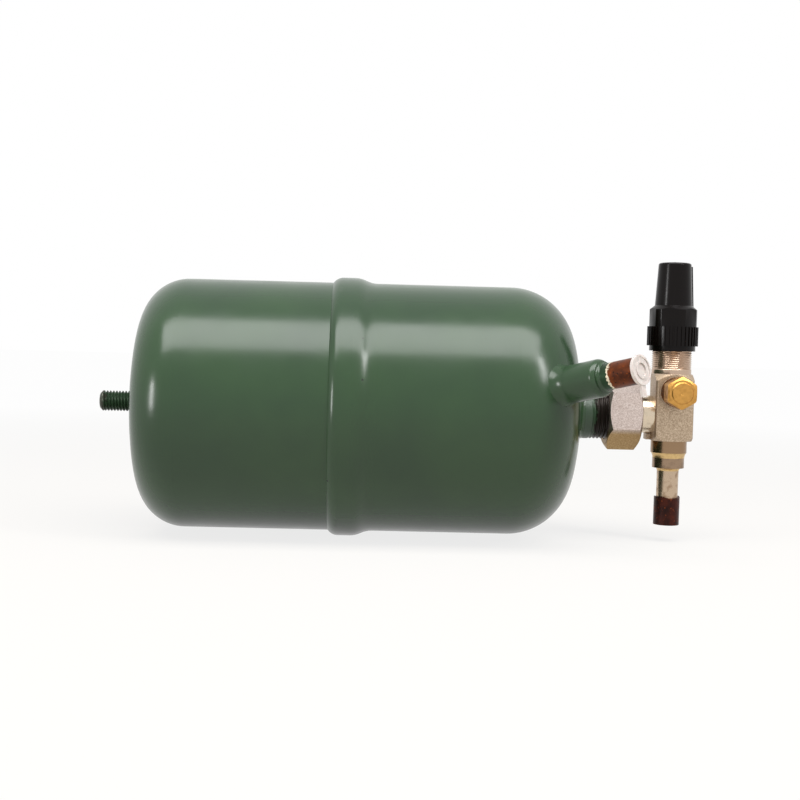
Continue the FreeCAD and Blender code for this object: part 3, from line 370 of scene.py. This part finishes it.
def brass(name, colour, lumps):
    """Yellow metal with turned rings round the gauge port's axis, or with lumps."""
    material, tree, shader = finish(name, Metallic=1.0)
    where = place(tree, shift=(-VALVE_X, 0, -GAUGE_Z))
    spread = node(tree, "ShaderNodeVectorMath", {0: where, 1: (1, 0, 1)}, operation="MULTIPLY").outputs[0]
    radius = node(tree, "ShaderNodeVectorMath", {0: spread}, operation="LENGTH").outputs["Value"]
    rings = node(tree, "ShaderNodeTexNoise", {"W": radius, "Scale": per_mm(0.5), "Detail": 2.0},
                 noise_dimensions="1D").outputs["Fac"]
    flow = noise(tree, where, 1.6, detail=2.0)
    mark = ramp(tree, radius, 0.8 * MM, 1.1 * MM)
    height = flow if lumps else math_node(tree, "ADD", rings, math_node(tree, "MULTIPLY", mark, 8.0))
    dull = ramp(tree, flow, 0.4, 0.7)
    join(tree, blend_colours(tree, dull, colour, tuple(0.8 * c for c in colour[:3]) + (1.0,)),
         shader, "Base Color")
    join(tree, ramp(tree, flow, 0.3, 0.7, 0.3, 0.42), shader, "Roughness")
    join(tree, bump(tree, height, 0.25 if lumps else 0.02, 0.6), shader, "Normal")
    return material


BRASS = brass("turned_brass", linear("#c9964f"), False)
BRAZE = brass("silver_brass_braze", linear("#d2b27c"), True)


# %% [markdown]
# ## Copper
# The inlet stub looks like copper that brazing has heated: brown and dark, brighter orange in spots,
# with a few black pits. A ragged cream line next to the boss may be old masking. The cup under the
# outlet is black and red-brown in the same way.

# %% Heated copper
def copper(name, dark, warm, bright):
    """Heated copper. Its colour is handed back, for the caller to add to and to join."""
    material, tree, shader = finish(name)
    where = place(tree)
    scale = noise(tree, where, 6, detail=3.0)
    fine = noise(tree, where, 1.1, detail=3.0, rough=0.6)
    colour = blend_colours(tree, ramp(tree, scale, 0.35, 0.6), dark, warm)
    spots = ramp(tree, fine, 0.62, 0.7)
    colour = blend_colours(tree, spots, colour, bright)
    join(tree, ramp(tree, spots, 0, 1, 0.75, 0.95), shader, "Metallic")
    join(tree, ramp(tree, scale, 0.3, 0.7, 0.34, 0.5), shader, "Roughness")
    join(tree, bump(tree, fine, 0.05, 0.4), shader, "Normal")
    return material, tree, shader, where, colour, fine


def plain_copper(name, *colours):
    """Heated copper with nothing else on it."""
    material, tree, shader, where, colour, fine = copper(name, *colours)
    join(tree, colour, shader, "Base Color")
    return material


CUP_COPPER = plain_copper("burnt_copper_cup", linear("#210a06"), linear("#40170b"), linear("#8f4724"))


def masked_copper(name, boss_end):
    """Copper with a ragged cream line and a smear of green paint next to the boss."""
    material, tree, shader, where, colour, fine = copper(
        name, linear("#3f1c0a"), linear("#67300f"), linear("#93461a"))
    along = node(tree, "ShaderNodeVectorMath", {0: where, 1: INLET_WAY},
                 operation="DOT_PRODUCT").outputs["Value"]
    edge = math_node(tree, "ADD", along, ramp(tree, fine, 0.3, 0.7, -0.7 * MM, 0.7 * MM))
    masked = boss_end + 4.6 * MM
    cream = ramp(tree, edge, masked + 1.1 * MM, masked + 0.9 * MM)
    paint = ramp(tree, edge, masked + 0.1 * MM, masked - 0.1 * MM)
    pits = node(tree, "ShaderNodeTexVoronoi", {"Vector": where, "Scale": per_mm(2.3)}).outputs["Distance"]
    colour = blend_colours(tree, ramp(tree, pits, 0.2, 0.14), colour, linear("#1d0a04"))
    colour = blend_colours(tree, cream, colour, linear("#d9cdb4"))
    join(tree, blend_colours(tree, paint, colour, PAINT_DEEP), shader, "Base Color")
    return material


BOSS_END = max(vert.co.dot(INLET_WAY) for vert in NODES["inlet_boss"].data.vertices)
STUB_COPPER = masked_copper("masked_copper_stub", BOSS_END)

# %% [markdown]
# ## Plastics and seals
# The valve's cap looks injection moulded in a black plastic such as nylon, with the gloss of its mould.
# The plug in the inlet is milky, as polyethylene is, so light goes a little way in. Packing and gasket
# are taken to be fluoropolymer, and the seals black rubber.

# %% Moulded plastics


def moulded(name, colour, rough, size, depth, **more):
    """Plastic with the faint unevenness of its mould."""
    material, tree, shader = finish(name, **more)
    where = place(tree)
    skin = noise(tree, where, size)
    darker = tuple(0.85 * c for c in colour[:3]) + (1.0,)
    join(tree, blend_colours(tree, ramp(tree, skin, 0.3, 0.7), colour, darker), shader, "Base Color")
    join(tree, ramp(tree, skin, 0.3, 0.7, rough, rough + 0.06), shader, "Roughness")
    join(tree, bump(tree, skin, depth, 0.4), shader, "Normal")
    return material


BLACK_NYLON = moulded("black_moulded_nylon", linear("#080403"), 0.17, 4.0, 0.05, Specular_IOR_Level=0.16)
MILKY_PLUG = moulded("milky_polyethylene", linear("#dcd3ce"), 0.34, 2.0, 0.02, Subsurface_Weight=0.4,
                     Subsurface_Radius=(0.003, 0.0025, 0.0025), Transmission_Weight=0.1)
WHITE_SEAL = moulded("white_fluoropolymer", linear("#e8e6df"), 0.4, 2.0, 0.02)
BLACK_RUBBER = moulded("black_rubber", linear("#1a1a1a"), 0.6, 1.0, 0.03)
print("materials", len(bpy.data.materials))

# %% [markdown]
# ## Which finish goes where
# Every node of the model gets its finish here. The pieces that are rebuilt below take theirs from the
# same table.

# %% Give each node its finish
FINISHES = {
    ENAMEL: ["stud_end_shell", "valve_end_shell", "seam_weld", "spud_weld", "boss_weld", "inlet_boss",
             "inlet_braze"],
    STUD_FINISH: ["mounting_stud"],
    SPUD_FINISH: ["outlet_spud"],
    ZINC: ["union_nut", "slip_ring"],
    FORGED: ["valve_body"],
    TURNED_X: ["union_tailpiece"],
    TURNED_Z: ["outlet_adaptor", "packing_washer", "gland_nut"],
    TURNED_Y: ["gauge_nipple"],
    DRAWN_TUBE: ["outlet_tube"],
    DRAWN_STEEL: ["dip_tube"],
    SPINDLE_STEEL: ["spindle"],
    BRAZE: ["adaptor_braze", "tube_braze"],
    STUB_COPPER: ["inlet_stub"],
    CUP_COPPER: ["outlet_cup"],
    BRASS: ["gauge_cap", "valve_disc"],
    BLACK_NYLON: ["stem_cap"],
    MILKY_PLUG: ["inlet_plug"],
    WHITE_SEAL: ["union_gasket", "stem_packing"],
    BLACK_RUBBER: ["cap_seal", "gauge_seal"],
}
finish_of = {name: material for material, names in FINISHES.items() for name in names}
for name, thing in NODES.items():
    thing.data.materials.clear()
    thing.data.materials.append(finish_of[name])
print("finishes given to", len(finish_of), "of", len(NODES))

# %% [markdown]
# ## Pieces that are reworked
# A node's own mesh is never changed. A copy of it is merged into one skin, shaped with mesh operators
# and shown in the node's place.

# %% Helpers for reworked pieces
BODY_OF = {name: body for body, names in frame["record"]["behaviour"]["bodies"].items() for name in names}


def copy_of(name):
    """A merged copy of a node's skin."""
    skin = bmesh.new()
    skin.from_mesh(NODES[name].data)
    bmesh.ops.remove_doubles(skin, verts=skin.verts, dist=0.001 * MM)
    return skin


def show(skin, name, body, material, stands_for=None, sharp=35):
    """Turns a finished mesh into a piece that rides on a body."""
    for face in skin.faces:
        face.smooth = True
    for edge in skin.edges:
        edge.smooth = not edge.is_manifold or edge.calc_face_angle(0) < math.radians(sharp)
    mesh = bpy.data.meshes.new(name)
    skin.to_mesh(mesh)
    skin.free()
    mesh.materials.append(material)
    piece = bpy.data.objects.new(name, mesh)
    bpy.context.scene.collection.objects.link(piece)
    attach(piece, body)
    if stands_for:
        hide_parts(stands_for)
    print(name, len(mesh.polygons), "faces")


def stand_in(skin, node_name, piece_name, sharp=35):
    """Shows a reworked copy in place of its node."""
    show(skin, piece_name, BODY_OF[node_name], finish_of[node_name],
         stands_for=node_name, sharp=sharp)


# %% [markdown]
# ## Threads
# The model shows a thread as a plain cylinder at its outside diameter. Here the cylinder is sliced into
# thin rings, a few to each pitch, and the rings' points are pushed in to follow a screw: how far
# depends on the place along the axis and on the angle round it. The ends fade out, as a real thread's do.

# %% Cut a thread
RINGS_PER_PITCH = 6


def cut_thread(skin, axis, centre, low, high, pitch, outside, depth, run_out):
    """Pushes the outside of a cylinder in to a screw thread between two places along an axis."""
    way = Vector([float(i == axis) for i in range(3)])
    others = [i for i in range(3) if i != axis]
    count = round((high - low) / pitch * RINGS_PER_PITCH)
    for k in range(count + 1):
        at = low + (high - low) * k / count
        bmesh.ops.bisect_plane(skin, geom=skin.verts[:] + skin.edges[:] + skin.faces[:], dist=0.0005 * MM,
                               plane_co=way * at, plane_no=way)
    for vert in skin.verts:
        along = vert.co[axis]
        if not low - 0.002 * MM <= along <= high + 0.002 * MM:
            continue
        side = [vert.co[i] - centre[i] for i in others]
        reach = math.hypot(*side)
        if reach < outside - 0.12 * MM:
            continue
        turn = math.atan2(side[1], side[0]) / math.tau * (-1 if axis == 1 else 1)
        wave = abs(((along / pitch - turn) % 1) * 2 - 1)
        fade = min(1, (along - low) / run_out, (high - along) / run_out)
        share = 1 - depth * max(fade, 0) * min(max(wave * 1.35 - 0.15, 0), 1) / reach
        for i, length in zip(others, side):
            vert.co[i] = centre[i] + length * share
    bmesh.ops.dissolve_degenerate(skin, edges=skin.edges[:], dist=0.0005 * MM)


AXIS_CENTRE = Vector((0, 0, 0))
stud = copy_of("mounting_stud")
cut_thread(stud, 0, AXIS_CENTRE, low=STUD_END + 1.3 * MM, high=-1.2 * MM, pitch=1.5 * MM,
           outside=5 * MM, depth=0.92 * MM, run_out=0.8 * MM)
stand_in(stud, "mounting_stud", "stud_thread", sharp=50)
spud = copy_of("outlet_spud")
cut_thread(spud, 0, AXIS_CENTRE, low=222 * MM, high=SPUD_END - 0.9 * MM, pitch=25.4 / 14 * MM,
           outside=12.7 * MM, depth=0.62 * MM, run_out=1.2 * MM)
stand_in(spud, "outlet_spud", "spud_thread", sharp=50)

# %% [markdown]
# The neck's thread is finer, 1 mm from turn to turn.

# %% Thread on the valve's neck
forging = copy_of("valve_body")
neck_centre = Vector((VALVE_X, 0, 0))
cut_thread(forging, 2, neck_centre, low=22.2 * MM, high=NECK_TOP - 1.2 * MM, pitch=1 * MM,
           outside=9.7 * MM, depth=0.4 * MM, run_out=0.6 * MM)
stand_in(forging, "valve_body", "valve_forging", sharp=30)


# %% [markdown]
# The gauge nipple's thread shows only when its brass cap is off. It runs along Y, out from the nose.

# %% Thread on the gauge nipple
nipple = copy_of("gauge_nipple")
nipple_low, nipple_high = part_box("gauge_nipple")
gauge_centre = Vector((VALVE_X, 0, (nipple_low.z + nipple_high.z) / 2))
cut_thread(nipple, 1, gauge_centre, low=nipple_low.y + 0.7 * MM, high=nipple_low.y + 7.4 * MM,
           pitch=1.27 * MM, outside=5 * MM, depth=0.6 * MM, run_out=0.8 * MM)
stand_in(nipple, "gauge_nipple", "nipple_thread", sharp=50)

# %% [markdown]
# ## Braze rings and the copper cup
# Braze freezes in runs and lumps, so each ring's surface is pushed about by a few slow waves. The cup's
# upper rim is wavy too, as if cut by hand.

# %% Lumpy braze and wavy cup
def push_ring(skin, centre, amount, inner, vertical):
    """Slow waves round the upright axis, on the points further out than a radius."""
    for vert in skin.verts:
        side = Vector((vert.co.x - centre.x, vert.co.y - centre.y, 0))
        if side.length < inner:
            continue
        turn = math.atan2(side.y, side.x)
        wave = math.sin(3 * turn + 0.7) * 0.5 + math.sin(5 * turn + 2.1) * 0.3 + math.sin(8 * turn) * 0.2
        if vertical:
            vert.co.z += amount * wave
        else:
            vert.co += side.normalized() * amount * wave


for node_name, inner, amount in (("adaptor_braze", 6.2 * MM, 0.22 * MM), ("tube_braze", 5.6 * MM, 0.3 * MM)):
    ring = copy_of(node_name)
    push_ring(ring, neck_centre, amount, inner, False)
    stand_in(ring, node_name, f"{node_name}_run", sharp=60)
cup = copy_of("outlet_cup")
rim = [v for v in cup.verts if v.co.z > CUP_TOP - 0.01 * MM]
for vert in rim:
    turn = math.atan2(vert.co.y, vert.co.x - VALVE_X)
    vert.co.z += (math.sin(2 * turn + 0.6) * 0.35 + math.sin(5 * turn) * 0.15 - 0.2) * MM
stand_in(cup, "outlet_cup", "copper_cup_cut")

# %% [markdown]
# ## The mark of the mould
# Plastic enters the cap's mould through a gate in the middle of its top. The gate leaves a small nub,
# which is a short cone. The cap's own top is pressed down a little, so that the nub ends at the height
# the model gives for the whole cap.

# %% Gate mark on the cap
NUB = 0.45 * MM
moulding = copy_of("stem_cap")
pressed = CAP_TOP - 3 * NUB
for vert in moulding.verts:
    if vert.co.z > pressed:
        vert.co.z = pressed + (vert.co.z - pressed) * 2 / 3
stand_in(moulding, "stem_cap", "cap_moulding", sharp=30)
nub = bmesh.new()
bmesh.ops.create_cone(nub, segments=20, cap_ends=True, radius1=1.2 * MM, radius2=0.6 * MM, depth=2 * NUB,
                      matrix=Matrix.Translation((VALVE_X, 0, CAP_TOP - NUB)))
bmesh.ops.bevel(nub, geom=[e for e in nub.edges if e.calc_face_angle(0) > 0.5], offset=0.15 * MM, segments=2,
                affect="EDGES", profile=0.5, material=-1)
show(nub, "cap_gate_mark", "stem_cap", BLACK_NYLON)

# %% [markdown]
# ## Floor, backdrop and lamps
# The receiver lies on a plain pale floor. To the camera the floor and the sky are nearly white. What
# is seen in gloss is the same white, so that metal shows the background. The floor keeps the shadow,
# so its own colour counts for more near the receiver than far away.

# %% Floor and world
FLOOR_Z = CAD_BOX[0].z
FLOOR_HALF = 6
UNDER_TANK = (0.12, 0, FLOOR_Z)
floor_mesh = bmesh.new()
bmesh.ops.create_grid(floor_mesh, x_segments=1, y_segments=1, size=FLOOR_HALF,
                      matrix=Matrix.Translation((0.13, 0, FLOOR_Z)))
mesh = bpy.data.meshes.new("floor")
floor_mesh.to_mesh(mesh)
floor_mesh.free()
floor = bpy.data.objects.new("floor", mesh)
bpy.context.scene.collection.objects.link(floor)


def seen(tree):
    """1 for rays that the camera, gloss or glass sends out, otherwise 0."""
    ray = node(tree, "ShaderNodeLightPath")
    first = math_node(tree, "MAXIMUM", ray.outputs["Is Camera Ray"], ray.outputs["Is Glossy Ray"])
    return math_node(tree, "MAXIMUM", first, ray.outputs["Is Transmission Ray"])


pale, tree, shader = finish("pale_floor", Base_Color=linear("#c9c2b8"), Roughness=0.9)
here = node(tree, "ShaderNodeTexCoord").outputs["Object"]
away = node(tree, "ShaderNodeVectorMath", {0: here, 1: UNDER_TANK}, operation="DISTANCE").outputs["Value"]
whiteness = ramp(tree, away, 0.25, 1.1, 0.8, 0.98)
glow = node(tree, "ShaderNodeEmission", {"Color": (1, 1, 1, 1), "Strength": 1.0})
mixed = node(tree, "ShaderNodeMixShader", {0: math_node(tree, "MULTIPLY", seen(tree), whiteness),
                                           1: shader.outputs[0], 2: glow.outputs[0]})
tree.links.new(mixed.outputs[0], tree.nodes["Material Output"].inputs["Surface"])
mesh.materials.append(pale)

world = bpy.data.worlds.new("studio")
world.use_nodes = True
bpy.context.scene.world = world
tree = world.node_tree
AIR_LIGHT = 0.35
background = tree.nodes["Background"]
background.inputs["Color"].default_value = linear("#ffffff")
tree.links.new(ramp(tree, seen(tree), 0, 1, AIR_LIGHT, 1.0), background.inputs["Strength"])


# %% [markdown]
# A long lamp hangs over the receiver and a little in front, which lays the bright band along the
# tank's upper side. A smaller lamp on each side gives the domes their upright streaks.

# %% Lamps
def lamp(name, where, target, width, height, radiance):
    """An area lamp of a given brightness per square metre that looks at a target."""
    data = bpy.data.lights.new(name, "AREA")
    data.shape = "RECTANGLE"
    data.size, data.size_y = width, height
    data.energy = radiance * math.pi * width * height
    thing = bpy.data.objects.new(name, data)
    bpy.context.scene.collection.objects.link(thing)
    thing.location = where
    thing.rotation_euler = (Vector(target) - Vector(where)).to_track_quat("-Z", "Y").to_euler()


MIDDLE = (0.11, 0, 0)
lamp("ceiling_lamp", (0.11, -0.40, 0.95), MIDDLE, width=1.5, height=0.58, radiance=6.8)
lamp("left_lamp", (-0.85, -0.60, 0.12), MIDDLE, width=0.14, height=0.35, radiance=22.0)
lamp("right_lamp", (1.00, -0.65, 0.75), MIDDLE, width=0.18, height=0.40, radiance=20.0)
print("lamps", len(bpy.data.lights))
